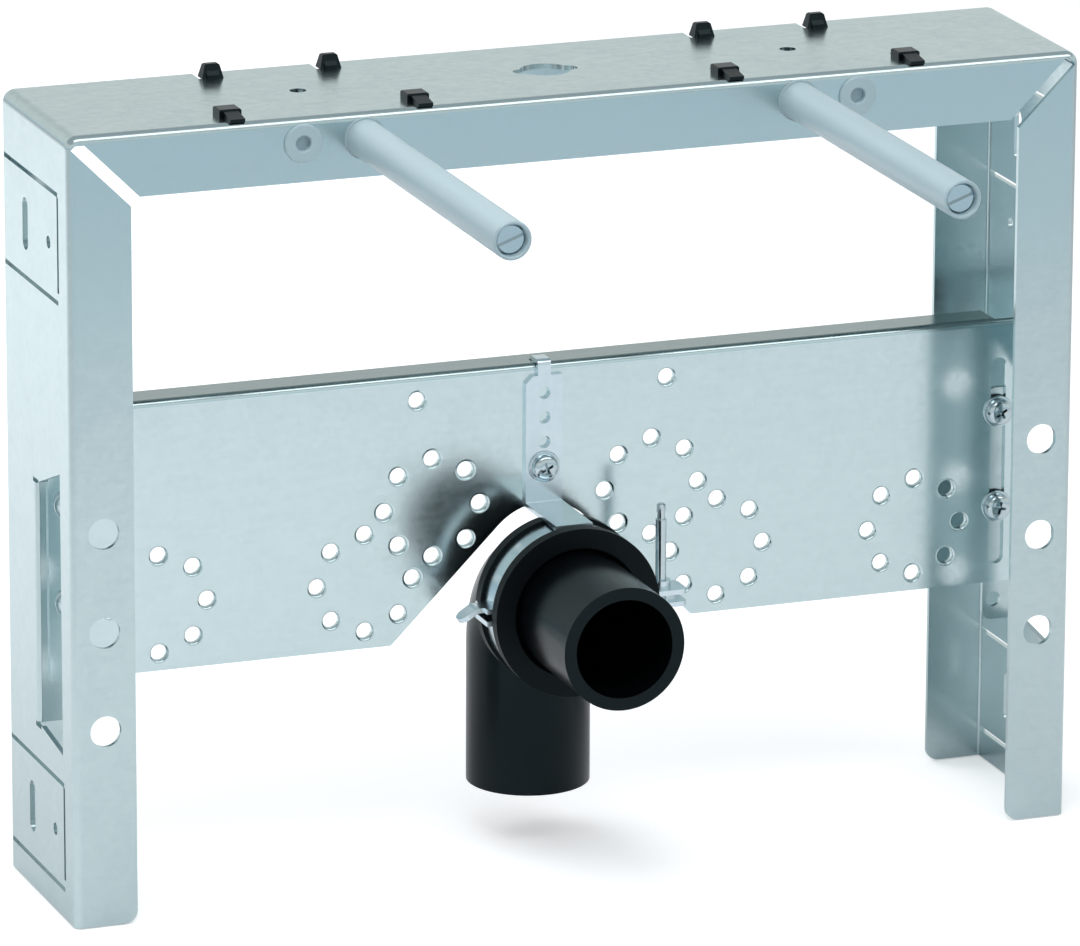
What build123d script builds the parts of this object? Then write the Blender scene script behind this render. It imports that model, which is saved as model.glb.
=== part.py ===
"""Wall-hung bidet mounting frame: a folded steel portal with a cross plate, a pipe clamp and a waste bend.

Millimetres. X runs along the wall, +Y into the wall, +Z up. The frame stands on its two channel ends at
Z = 0, and the origin is in the middle of the space between the stud ends and the rear flanges.
"""

import math
import os

from build123d import *

os.makedirs("parts", exist_ok=True)

# Portal frame, one folded sheet
frame_width = 420.0
frame_height = 318.0
frame_depth = 85.0
frame_sheet = 2.0
flange_width = 25.5
fold_radius = 1.0
web_corner_radius = 5.0
mitre_gap = 5.0
mitre_start = 4.8
foot_corner_radius = 5.0

# Studs for the bidet and the plugged holes beside them
stud_spacing = 180.0
plug_spacing = 230.0
stud_drop = 10.0
stud_reach = 165.0
stud_diameter = 12.0
stud_recess = 2.5
stud_slot_width = 1.6
stud_slot_depth = 1.5
stud_slot_turn = 20.0
stud_chamfer = 0.8
sleeve_diameter = 15.2
sleeve_clearance = 0.15
sleeve_chamfer = 0.5
flange_hole_clearance = 0.2
collar_diameter = 16.6
collar_height = 1.2
plug_collar_diameter = 15.4
plug_diameter = 13.4
plug_pin_diameter = 11.5
plug_length = 9.0
plug_recess_diameter = 6.0
plug_recess_depth = 3.0
plug_mouth_radius = 0.8

# Cradles that carry the studs inside the rail
cradle_width = 52.0
cradle_height = 19.0
cradle_depth = 60.0
cradle_sheet = 3.0
cradle_clearance = 0.05
block_width = 18.0
block_length = 10.0
thread_clearance = 0.08

# Cross plate
plate_sheet = 1.5
plate_setback = 44.0
plate_top_drop = 120.0
plate_height = 110.5
plate_end_clearance = 2.5
plate_flange_depth = 15.3
plate_flange_end_gap = 13.0
plate_fold_radius = 1.0
cutout_radius = 26.0
cutout_drop = 83.3
plate_slot_width = 6.6
plate_slot_length = 87.0
plate_slot_inset = 12.0
plate_slot_drop = 16.0

# Screw holes in the cross plate
ring_hole_diameter = 6.5
hole_mouth_radius = 1.2
hole_collar_wall = 1.2
hole_collar_length = 1.2
ring_circle = 40.0
ring_count = 8
inner_ring_spread = 46.5
outer_ring_spread = 160.5
single_hole_spread = 52.8
single_hole_drop = 10.5

# Screws that hold the cross plate on the folded tabs
plate_screw_first_drop = 38.5
plate_screw_pitch = 40.0
access_hole_diameter = 12.5
screw_diameter = 6.0
screw_head_diameter = 13.0
screw_head_height = 4.2
screw_length = 12.0
screw_clearance = 0.1

# Tabs folded in from the webs, and the windows that they leave
tab_reach = 16.0
tab_length = 98.0
tab_end_margin = 9.5
tab_corner_radius = 4.0
tab_fold_radius = 1.8
window_front_setback = 14.0
window_extra_top = 12.0
window_extra_bottom = 4.0
fold_relief = 3.5
fold_relief_width = 2.0

# Fixing tongues slit out of the webs
tongue_front_setback = 13.0
tongue_slit = 2.0
tongue_height = 43.0
tongue_bridge = 3.0
tongue_upper_drop = 25.5
tongue_lower_rise = 12.0
wall_slot_width = 7.0
wall_slot_length = 21.0
wall_slot_setback = 55.0
wall_hole_diameter = 5.0
wall_hole_setback = 25.0
pilot_hole_setback = 61.0
pilot_hole_drop = 85.0

# Holes in the top of the rail
top_hole_diameter = 20.0
top_hole_ear_length = 26.6
top_hole_ear_width = 7.0
side_hole_diameter = 6.5
side_hole_spread = 102.5

# Snap clips along the top: low hooks in front, tapered blocks at the rear
clip_stem_width = 5.7
clip_stem_depth = 3.0
clip_barb = 1.2
clip_clearance = 0.15
clip_edge = 0.5
hook_spreads = (64.5, 141.0)
hook_stem_setback = 16.3
hook_width = 9.0
hook_back = 18.0
hook_body_length = 8.0
hook_height = 3.2
hook_nose_width = 6.0
hook_nose_height = 1.4
hook_nose_setback = 1.0
hook_hole_back = 23.0
block_clip_spreads = (78.7, 127.4)
block_clip_setback = 75.0
block_clip_width = 8.8
block_clip_depth = 6.0
block_clip_height = 5.6
block_clip_top_width = 6.0
block_clip_top_depth = 3.4
block_clip_rib_width = 5.0
block_clip_rib_height = 3.8
block_clip_rib_tip_height = 1.4
notch_reach = 5.3

# Waste bend
pipe_diameter = 50.0
pipe_wall = 5.0
pipe_drop = 211.5
pipe_setback = 59.5
pipe_bend_radius = 28.0
pipe_bottom_rise = 21.0
spigot_reach = 48.5

# Pipe clamp and its hanger
band_sheet = 2.0
band_width = 13.5
band_inner_radius = 31.0
liner_width = 24.0
liner_lip_height = 3.5
liner_clearance = 0.15
clamp_setback = 14.5
liner_mouth = 1.4
clamp_ear_length = 16.5
clamp_ear_gap = 3.0
clamp_ear_corner = 3.0
clamp_nut_diameter = 8.0
clamp_nut_height = 3.0
clamp_screw_diameter = 4.4
clamp_screw_spread = 39.3
clamp_screw_rise = 38.0
clamp_screw_head = 8.0
clamp_screw_neck = 3.0
clamp_screw_neck_length = 3.2
clamp_screw_tip = 3.6
clamp_screw_tip_length = 3.3
clamp_edge = 0.6
hinge_ear_length = 4.5
hinge_tongue_width = 8.0
hinge_tongue_tip = 8.0
hinge_tongue_angle = 32.0
strip_width = 15.5
strip_sheet = 2.0
strip_top_gap = 4.5
strip_hole_diameter = 5.2
strip_hole_pitch = 10.15
strip_hole_count = 3
strip_first_hole = 7.1
strip_hook_width = 5.5
strip_hook_depth = 7.5
strip_hook_drop = 5.0
strip_corner = 3.0
strip_fold_radius = 1.2
strip_slot_clearance = 0.4

# Places worked out from the sizes above
front_y = (stud_reach - frame_depth) / 2
rear_y = front_y + frame_depth
half_width = frame_width / 2
stud_z = frame_height - stud_drop
stud_end_y = front_y - stud_reach
plate_y = front_y + plate_setback
plate_back_y = plate_y + plate_sheet
plate_top = frame_height - plate_top_drop
plate_bottom = plate_top - plate_height
plate_half_width = half_width - frame_sheet - plate_end_clearance
ring_z = plate_top - cutout_drop
pipe_y = front_y + pipe_setback
pipe_z = frame_height - pipe_drop
pipe_radius = pipe_diameter / 2
pipe_bore_radius = pipe_radius - pipe_wall
clamp_y = front_y + clamp_setback
band_outer_radius = band_inner_radius + band_sheet
screw_x = plate_half_width - plate_slot_inset + plate_slot_width / 2
screw_heights = [plate_top - plate_screw_first_drop - n * plate_screw_pitch for n in range(3)]
clip_slot_half = clip_stem_width / 2 + clip_clearance
hook_stem_y = front_y + hook_stem_setback
hook_back_y = front_y + hook_back
block_clip_y = front_y + block_clip_setback
hanger_screw_z = plate_top - strip_top_gap - strip_first_hole - strip_hole_count * strip_hole_pitch
sides = (("left", -1), ("right", 1))


def facing_front(y):
    """Plane seen from the front at depth y: local x is X, local y is Z, the normal points at the viewer."""
    return Plane.XZ.offset(-y)


def portal_outline(half, top, band, corner, foot, foot_corner=0):
    """Sketch of the portal seen from the front: a band of one width down both sides and under the top."""
    with BuildSketch() as outline:
        with BuildLine():
            Polyline(
                (-half, foot),
                (-half, top),
                (half, top),
                (half, foot),
                (half - band, foot),
                (half - band, top - band),
                (band - half, top - band),
                (band - half, foot),
                close=True,
            )
        make_face()
        fillet(outline.vertices().group_by(Axis.Y)[-1], corner)
        if foot_corner:
            feet = outline.vertices().group_by(Axis.Y)[0]
            fillet(feet.sort_by(lambda v: abs(v.X))[:2], foot_corner)
    return outline.sketch


def on_outline(edge, half, top, band):
    """True for an edge along the outer outline of a portal, false for its inner edges and its feet."""
    middle = edge.center()
    return abs(middle.X) > half - 0.4 * band or middle.Z > top - 0.4 * band


def export(builder, label):
    """Labels a finished piece and writes it as its own file."""
    builder.part.label = label
    export_step(builder.part, f"parts/{label}.step")


# The space inside the folded channel
cavity_half = half_width - frame_sheet
cavity_top = frame_height - frame_sheet
cavity_outline = portal_outline(
    cavity_half, cavity_top, flange_width, web_corner_radius - frame_sheet, -frame_sheet
)
with BuildPart() as channel_cavity:
    with BuildSketch(facing_front(front_y + frame_sheet)):
        add(cavity_outline)
    extrude(amount=-(frame_depth - 2 * frame_sheet))
    folds = channel_cavity.edges().filter_by(lambda e: on_outline(e, cavity_half, cavity_top, flange_width))
    fillet(folds.group_by(Axis.Y)[0] + folds.group_by(Axis.Y)[-1], fold_radius)

# Portal frame
window_top = screw_heights[0] + tab_end_margin
window_bottom = window_top - tab_length
window_rear_y = plate_back_y
tongue_lower_top = tongue_lower_rise + tongue_height
tongue_tops = (frame_height - tongue_upper_drop, tongue_lower_top)
channel_outline = portal_outline(
    half_width, frame_height, flange_width, web_corner_radius, 0, foot_corner_radius
)
with BuildPart() as frame_channel:
    with BuildSketch(facing_front(front_y)):
        add(channel_outline)
    extrude(amount=-frame_depth)
    folds = frame_channel.edges().filter_by(lambda e: on_outline(e, half_width, frame_height, flange_width))
    fillet(folds.group_by(Axis.Y)[0] + folds.group_by(Axis.Y)[-1], fold_radius + frame_sheet)
    add(channel_cavity.part, mode=Mode.SUBTRACT)

    # Mitre gaps where the flanges of the rail and the uprights meet
    with BuildSketch(facing_front(front_y)):
        for _, side in sides:
            with Locations(Location((side * half_width, frame_height, 0), (0, 0, -90 - side * 45))):
                with Locations((mitre_start, 0)):
                    Rectangle(2 * flange_width, mitre_gap, align=(Align.MIN, Align.CENTER))
    extrude(amount=-frame_depth, mode=Mode.SUBTRACT)

    # Access holes for the plate screws, in the front flanges of the uprights
    with BuildSketch(facing_front(front_y)):
        for _, side in sides:
            with Locations(*[(side * screw_x, z) for z in screw_heights]):
                Circle(access_hole_diameter / 2)
    extrude(amount=-frame_sheet - fold_radius, mode=Mode.SUBTRACT)

    # Holes for the sleeves and the plugs, in the front flange of the rail
    with BuildSketch(facing_front(front_y)):
        with Locations(*[(side * stud_spacing / 2, stud_z) for _, side in sides]):
            Circle(sleeve_diameter / 2 + flange_hole_clearance)
        with Locations(*[(side * plug_spacing / 2, stud_z) for _, side in sides]):
            Circle(plug_diameter / 2 + flange_hole_clearance)
    extrude(amount=-frame_sheet - fold_radius, mode=Mode.SUBTRACT)

    # Keyed round hole, small holes beside it and the holes that the hooks stand in
    with BuildSketch(Plane.XY.offset(frame_height)):
        with Locations((0, front_y + frame_depth / 2)):
            Circle(top_hole_diameter / 2)
            SlotOverall(top_hole_ear_length, top_hole_ear_width)
        with Locations(*[(side * side_hole_spread, front_y + frame_depth / 2) for _, side in sides]):
            Circle(side_hole_diameter / 2)
        hole_front_y = hook_stem_y - clip_stem_depth / 2 - clip_clearance
        with Locations(*[(side * spread, hole_front_y) for _, side in sides for spread in hook_spreads]):
            Rectangle(
                2 * clip_slot_half,
                front_y + hook_hole_back - hole_front_y,
                align=(Align.CENTER, Align.MIN),
            )
    extrude(amount=-frame_sheet, mode=Mode.SUBTRACT)

    # Notches in the rear edge of the top, each with a clip against its front and its right side
    with BuildSketch(Plane.XY.offset(frame_height)):
        notch_front_y = block_clip_y - clip_stem_depth / 2 - clip_clearance
        for clip_x in [side * spread for _, side in sides for spread in block_clip_spreads]:
            with Locations((clip_x - notch_reach, notch_front_y)):
                Rectangle(
                    notch_reach + clip_slot_half,
                    rear_y - notch_front_y,
                    align=(Align.MIN, Align.MIN),
                )
    extrude(amount=-frame_sheet - fold_radius, mode=Mode.SUBTRACT)

    for _, side in sides:
        web = Plane.YZ.offset(side * half_width)

        # Window that the tab was folded out of
        with BuildSketch(web):
            with BuildLine():
                Polyline(
                    (front_y + window_front_setback, window_top + window_extra_top),
                    (window_rear_y, window_top),
                    (window_rear_y, window_bottom),
                    (front_y + window_front_setback, window_bottom - window_extra_bottom),
                    close=True,
                )
            make_face()
        extrude(amount=-side * frame_sheet, mode=Mode.SUBTRACT)

        # Tab folded in behind the cross plate, with threaded holes for its screws
        with BuildSketch(facing_front(plate_back_y)):
            tab_middle = (side * (half_width - frame_sheet / 2), (window_top + window_bottom) / 2)
            with Locations(tab_middle):
                Rectangle(
                    tab_reach + frame_sheet / 2,
                    tab_length,
                    align=(Align.MAX if side > 0 else Align.MIN, Align.CENTER),
                )
            free_corners = vertices().sort_by(lambda v: abs(v.X))[:2]
            fillet(free_corners, tab_corner_radius)
            with Locations(*[(side * screw_x, z) for z in screw_heights]):
                Circle(screw_diameter / 2 + thread_clearance, mode=Mode.SUBTRACT)
        extrude(amount=-frame_sheet)
        upright = frame_channel.edges().filter_by(Axis.Z)
        tab_centre_z = (window_top + window_bottom) / 2
        outer_fold = upright.sort_by_distance((side * half_width, window_rear_y, tab_centre_z))[0]
        fillet(outer_fold, tab_fold_radius)

        # Reliefs at the ends of the tab's fold
        with BuildSketch(web):
            for end_z, growth in ((window_top, 1), (window_bottom, -1)):
                with Locations((window_rear_y, end_z + growth * fold_relief_width / 2)):
                    Rectangle(2 * fold_relief, fold_relief_width)
        extrude(amount=-side * frame_sheet, mode=Mode.SUBTRACT)

        # Tongues with a wall slot and a small hole, slit on three sides
        with BuildSketch(web):
            for top in tongue_tops:
                middle = top - tongue_height / 2
                for slit_z in (top, top - tongue_height):
                    with Locations((front_y + tongue_front_setback, slit_z)):
                        Rectangle(
                            frame_depth - tongue_front_setback - frame_sheet - fold_radius,
                            tongue_slit,
                            align=(Align.MIN, Align.CENTER),
                        )
                with Locations((front_y + tongue_front_setback, middle + tongue_bridge / 2)):
                    Rectangle(tongue_slit, tongue_height - tongue_bridge - tongue_slit)
                with Locations((front_y + wall_slot_setback, middle)):
                    SlotOverall(wall_slot_length, wall_slot_width, rotation=90)
                with Locations((front_y + wall_hole_setback, middle)):
                    Circle(wall_hole_diameter / 2)
            if side > 0:
                with Locations((front_y + pilot_hole_setback, frame_height - pilot_hole_drop)):
                    Circle(wall_hole_diameter / 2)
        extrude(amount=-side * frame_sheet, mode=Mode.SUBTRACT)
export(frame_channel, "frame_channel")

# Cross plate with its top folded to the rear
with BuildPart() as cross_plate:
    with BuildSketch(Plane.YZ):
        with BuildLine():
            Polyline(
                (plate_y, plate_bottom),
                (plate_y, plate_top),
                (plate_y + plate_flange_depth, plate_top),
                (plate_y + plate_flange_depth, plate_top - plate_sheet),
                (plate_back_y, plate_top - plate_sheet),
                (plate_back_y, plate_bottom),
                close=True,
            )
        make_face()
    extrude(amount=plate_half_width, both=True)
    along_x = cross_plate.edges().filter_by(Axis.X)
    outer_fold = along_x.sort_by_distance((0, plate_y, plate_top))[0]
    inner_fold = along_x.sort_by_distance((0, plate_back_y, plate_top - plate_sheet))[0]
    fillet(outer_fold, plate_fold_radius + plate_sheet)
    fillet(inner_fold, plate_fold_radius)

    # The folded edge stops short of the webs
    with BuildSketch(Plane.XY.offset(plate_top)):
        for _, side in sides:
            with Locations((side * half_width, plate_back_y)):
                Rectangle(
                    frame_sheet + plate_flange_end_gap,
                    plate_flange_depth,
                    align=(Align.MAX if side > 0 else Align.MIN, Align.MIN),
                )
    extrude(amount=-(plate_sheet + plate_fold_radius), mode=Mode.SUBTRACT)

    # Cut-out for the pipe: an arc with a 45 degree tangent on each side down to the lower edge
    tangent_x = cutout_radius * math.sin(math.radians(45))
    tangent_z = ring_z + tangent_x
    corner_x = tangent_x + tangent_z - plate_bottom
    with BuildSketch(facing_front(plate_y)):
        with BuildLine():
            Line((-corner_x, plate_bottom), (-tangent_x, tangent_z))
            ThreePointArc((-tangent_x, tangent_z), (0, ring_z + cutout_radius), (tangent_x, tangent_z))
            Line((tangent_x, tangent_z), (corner_x, plate_bottom))
            Line((corner_x, plate_bottom), (-corner_x, plate_bottom))
        make_face()
    extrude(amount=-plate_sheet, mode=Mode.SUBTRACT)

    # Slot in the folded edge for the hook of the hanger strip
    with BuildSketch(Plane.XY.offset(plate_top)):
        with Locations((0, plate_y + strip_hook_depth - strip_sheet / 2)):
            Rectangle(strip_hook_width + 2 * strip_slot_clearance, strip_sheet + 2 * strip_slot_clearance)
    extrude(amount=-plate_sheet, mode=Mode.SUBTRACT)

    # Screw holes, in rings and in a pair: rolled in at the front, with a collar behind.
    # On each side the two inner rings share one hole
    ring_step = ring_circle * math.sin(math.radians(360 / ring_count))
    ring_centres = [(inner_ring_spread, ring_z + ring_step)]
    ring_centres += [(inner_ring_spread + ring_step, ring_z), (outer_ring_spread, ring_z)]
    ring_turns = [math.radians(360 * n / ring_count) for n in range(ring_count)]
    ring_points = sorted(
        {
            (
                round(x + ring_circle / 2 * math.cos(turn), 3),
                round(z + ring_circle / 2 * math.sin(turn), 3),
            )
            for x, z in ring_centres
            for turn in ring_turns
        }
    )
    screw_holes = [(side * x, z) for _, side in sides for x, z in ring_points]
    screw_holes += [(side * single_hole_spread, plate_top - single_hole_drop) for _, side in sides]
    with BuildSketch(facing_front(plate_back_y)):
        with Locations(*screw_holes):
            Circle(ring_hole_diameter / 2 + hole_collar_wall)
    extrude(amount=-hole_collar_length)
    with BuildSketch(facing_front(plate_y)):
        with Locations(*screw_holes):
            Circle(ring_hole_diameter / 2)
    extrude(amount=-plate_sheet - hole_collar_length, mode=Mode.SUBTRACT)
    mouths = cross_plate.edges().filter_by(GeomType.CIRCLE).group_by(Axis.Y)[0]
    fillet(mouths.filter_by(lambda e: abs(e.radius - ring_hole_diameter / 2) < 0.01), hole_mouth_radius)

    # End slots and the hole for the screw of the hanger strip
    with BuildSketch(facing_front(plate_y)):
        for _, side in sides:
            with Locations((side * screw_x, plate_top - plate_slot_drop - plate_slot_length / 2)):
                SlotOverall(plate_slot_length, plate_slot_width, rotation=90)
        with Locations((0, hanger_screw_z)):
            Circle(screw_diameter / 2 + thread_clearance)
    extrude(amount=-plate_sheet, mode=Mode.SUBTRACT)
export(cross_plate, "cross_plate")

# Screws that hold the plate on the tabs, two each side
for side_name, side in sides:
    for level, height in zip(("upper", "lower"), screw_heights):
        with BuildPart() as plate_screw:
            with BuildSketch(facing_front(plate_y)):
                with Locations((side * screw_x, height)):
                    Circle(screw_head_diameter / 2)
            extrude(amount=screw_head_height)
            head_rim = plate_screw.edges().group_by(Axis.Y)[0]
            fillet(head_rim, screw_head_height / 2)
            with BuildSketch(facing_front(plate_y)):
                with Locations((side * screw_x, height)):
                    Circle(screw_diameter / 2)
            extrude(amount=-screw_length)
        export(plate_screw, f"plate_screw_{level}_{side_name}")

# Cradle inside the rail behind each stud: a folded U with a threaded block for either stud spacing
cradle_top = cavity_top - cradle_clearance
cradle_front = front_y + frame_sheet + cradle_clearance
cradle_rear = cradle_front + cradle_depth
cradle_x = (stud_spacing + plug_spacing) / 4
block_positions = (stud_spacing / 2, plug_spacing / 2)
for side_name, side in sides:
    block_centres = [(side * x, stud_z) for x in block_positions]
    with BuildPart() as stud_cradle:
        with BuildSketch(Plane.YZ.offset(side * cradle_x)):
            with Locations((cradle_front, cradle_top)):
                Rectangle(cradle_depth, cradle_height, align=(Align.MIN, Align.MAX))
            with Locations((cradle_front + cradle_sheet, cradle_top)):
                Rectangle(
                    cradle_depth - 2 * cradle_sheet,
                    cradle_height - cradle_sheet,
                    align=(Align.MIN, Align.MAX),
                    mode=Mode.SUBTRACT,
                )
        extrude(amount=cradle_width / 2, both=True)
        along_x = stud_cradle.edges().filter_by(Axis.X)
        front_corner = along_x.sort_by_distance((side * cradle_x, cradle_front, cradle_top))[0]
        fillet(front_corner, fold_radius)
        fillet(along_x.group_by(Axis.Z)[0], fold_radius + cradle_sheet)
        with BuildSketch(facing_front(cradle_rear - cradle_sheet)):
            with Locations(*[(x, cradle_top) for x, _ in block_centres]):
                Rectangle(
                    block_width,
                    cradle_height - cradle_sheet,
                    align=(Align.CENTER, Align.MAX),
                )
        extrude(amount=block_length)
        with BuildSketch(facing_front(cradle_rear - cradle_sheet)):
            with Locations(*block_centres):
                Circle(stud_diameter / 2 + thread_clearance)
        extrude(amount=cradle_depth, mode=Mode.SUBTRACT)
    export(stud_cradle, f"stud_cradle_{side_name}")

# Studs that bear on the rear wall of their cradle, their sleeves, and the plugs beside them
stud_start_y = stud_end_y + stud_recess
for side_name, side in sides:
    stud_x = side * stud_spacing / 2
    with BuildPart() as stud:
        with BuildSketch(facing_front(stud_start_y)):
            with Locations((stud_x, stud_z)):
                Circle(stud_diameter / 2)
        extrude(amount=-(cradle_rear - cradle_sheet - stud_start_y))
        chamfer(stud.edges().group_by(Axis.Y)[0], stud_chamfer)
        with BuildSketch(facing_front(stud_start_y)):
            with Locations((stud_x, stud_z)):
                Rectangle(stud_diameter, stud_slot_width, rotation=stud_slot_turn)
        extrude(amount=-stud_slot_depth, mode=Mode.SUBTRACT)
    export(stud, f"stud_{side_name}")

    with BuildPart() as stud_sleeve:
        with BuildSketch(facing_front(stud_end_y)):
            with Locations((stud_x, stud_z)):
                Circle(sleeve_diameter / 2)
                Circle(stud_diameter / 2 + sleeve_clearance, mode=Mode.SUBTRACT)
        extrude(amount=-(cradle_front - stud_end_y))
        front_rims = stud_sleeve.edges().filter_by(GeomType.CIRCLE).group_by(Axis.Y)[0]
        chamfer(front_rims, sleeve_chamfer)
        with BuildSketch(facing_front(front_y)):
            with Locations((stud_x, stud_z)):
                Circle(collar_diameter / 2)
                Circle(sleeve_diameter / 2 - sleeve_clearance, mode=Mode.SUBTRACT)
        extrude(amount=collar_height)
    export(stud_sleeve, f"stud_sleeve_{side_name}")

    plug_x = side * plug_spacing / 2
    with BuildPart() as hole_plug:
        with BuildSketch(facing_front(front_y)):
            with Locations((plug_x, stud_z)):
                Circle(plug_collar_diameter / 2)
        extrude(amount=collar_height)
        fillet(hole_plug.edges().group_by(Axis.Y)[0], collar_height / 2)
        with BuildSketch(facing_front(front_y)):
            with Locations((plug_x, stud_z)):
                Circle(plug_diameter / 2)
        extrude(amount=-(cradle_front - front_y))
        with BuildSketch(facing_front(cradle_front)):
            with Locations((plug_x, stud_z)):
                Circle(plug_pin_diameter / 2)
        extrude(amount=-plug_length)
        with BuildSketch(facing_front(front_y - collar_height)):
            with Locations((plug_x, stud_z)):
                Circle(plug_recess_diameter / 2)
        extrude(amount=-plug_recess_depth, mode=Mode.SUBTRACT)
        front_rims = hole_plug.edges().filter_by(GeomType.CIRCLE).group_by(Axis.Y)[0]
        fillet(front_rims.sort_by(SortBy.RADIUS)[0], plug_mouth_radius)
    export(hole_plug, f"hole_plug_{side_name}")

# Snap clips: each has a stem through the rail and a barb under its top
clip_rows = (("front", hook_stem_y, hook_spreads), ("rear", block_clip_y, block_clip_spreads))
for row_name, clip_y, spreads in clip_rows:
    for side_name, side in sides:
        for place_name, spread in zip(("inner", "outer"), spreads):
            clip_x = side * spread
            with BuildPart() as snap_clip:
                if row_name == "front":
                    # Low hook whose nose slopes down to the front edge
                    body_front_y = hook_back_y - hook_body_length
                    with BuildSketch(Plane.XY.offset(frame_height)):
                        with Locations((clip_x, hook_back_y)):
                            Rectangle(hook_width, hook_body_length, align=(Align.CENTER, Align.MAX))
                    extrude(amount=hook_height)
                    chamfer(snap_clip.edges().group_by(Axis.Z)[-1], clip_edge)
                    nose_tip_y = front_y + hook_nose_setback
                    nose_profile = (
                        (body_front_y + clip_edge, frame_height),
                        (nose_tip_y, frame_height),
                        (nose_tip_y, frame_height + hook_nose_height),
                        (body_front_y + clip_edge, frame_height + hook_height - clip_edge),
                    )
                    nose_width = hook_nose_width
                else:
                    # Tapered block with a rib on its front
                    with BuildSketch(Plane.XY.offset(frame_height)):
                        with Locations((clip_x, clip_y)):
                            Rectangle(block_clip_width, block_clip_depth)
                    with BuildSketch(Plane.XY.offset(frame_height + block_clip_height)):
                        with Locations((clip_x, clip_y)):
                            Rectangle(block_clip_top_width, block_clip_top_depth)
                    loft()
                    chamfer(snap_clip.edges().group_by(Axis.Z)[-1], clip_edge)
                    rib_tip_y = clip_y - block_clip_depth / 2 - clip_edge
                    nose_profile = (
                        (clip_y, frame_height),
                        (rib_tip_y, frame_height),
                        (rib_tip_y, frame_height + block_clip_rib_tip_height),
                        (clip_y - block_clip_top_depth / 2, frame_height + block_clip_rib_height),
                        (clip_y, frame_height + block_clip_rib_height),
                    )
                    nose_width = block_clip_rib_width
                with BuildSketch(Plane.YZ.offset(clip_x)):
                    with BuildLine():
                        Polyline(*nose_profile, close=True)
                    make_face()
                extrude(amount=nose_width / 2, both=True)
                with BuildSketch(Plane.XY.offset(frame_height)):
                    with Locations((clip_x, clip_y)):
                        Rectangle(clip_stem_width, clip_stem_depth)
                extrude(amount=-(frame_sheet + clip_barb))
                with BuildSketch(facing_front(clip_y)):
                    with Locations((clip_x, cavity_top)):
                        Trapezoid(
                            clip_stem_width + 2 * clip_barb,
                            clip_barb,
                            -60,
                            align=(Align.CENTER, Align.MAX),
                        )
                extrude(amount=clip_stem_depth / 2, both=True)
            export(snap_clip, f"snap_clip_{row_name}_{place_name}_{side_name}")

# Waste bend: one pipe from the spigot, through the clamp and down to the outlet
with BuildPart() as waste_bend:
    with BuildLine() as pipe_path:
        FilletPolyline(
            (0, front_y - spigot_reach, pipe_z),
            (0, pipe_y, pipe_z),
            (0, pipe_y, pipe_bottom_rise),
            radius=pipe_bend_radius,
        )
    with BuildSketch(facing_front(front_y - spigot_reach)):
        with Locations((0, pipe_z)):
            Circle(pipe_radius)
            Circle(pipe_bore_radius, mode=Mode.SUBTRACT)
    sweep(path=pipe_path.wires()[0])
export(waste_bend, "waste_bend")

# Rubber liner with a lip on each side of the clamp band
with BuildPart() as clamp_liner:
    with BuildSketch(facing_front(clamp_y)):
        with Locations((0, pipe_z)):
            Circle(band_inner_radius + liner_lip_height)
            Circle(pipe_radius + liner_clearance, mode=Mode.SUBTRACT)
    extrude(amount=liner_width / 2, both=True)
    with BuildSketch(facing_front(clamp_y)):
        with Locations((0, pipe_z)):
            Circle(band_outer_radius + liner_lip_height)
            Circle(band_inner_radius - liner_clearance, mode=Mode.SUBTRACT)
    extrude(amount=band_width / 2 + liner_clearance, both=True, mode=Mode.SUBTRACT)
    with BuildSketch(facing_front(clamp_y)):
        with Locations((0, pipe_z + band_outer_radius - liner_clearance)):
            Rectangle(
                strip_width + 2 * liner_clearance,
                liner_lip_height,
                align=(Align.CENTER, Align.MIN),
            )
    extrude(amount=-liner_width, mode=Mode.SUBTRACT)
    front_mouth = clamp_liner.edges().filter_by(GeomType.CIRCLE).group_by(Axis.Y)[0]
    chamfer(front_mouth.sort_by(SortBy.RADIUS)[0], liner_mouth)
export(clamp_liner, "clamp_liner")

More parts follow.
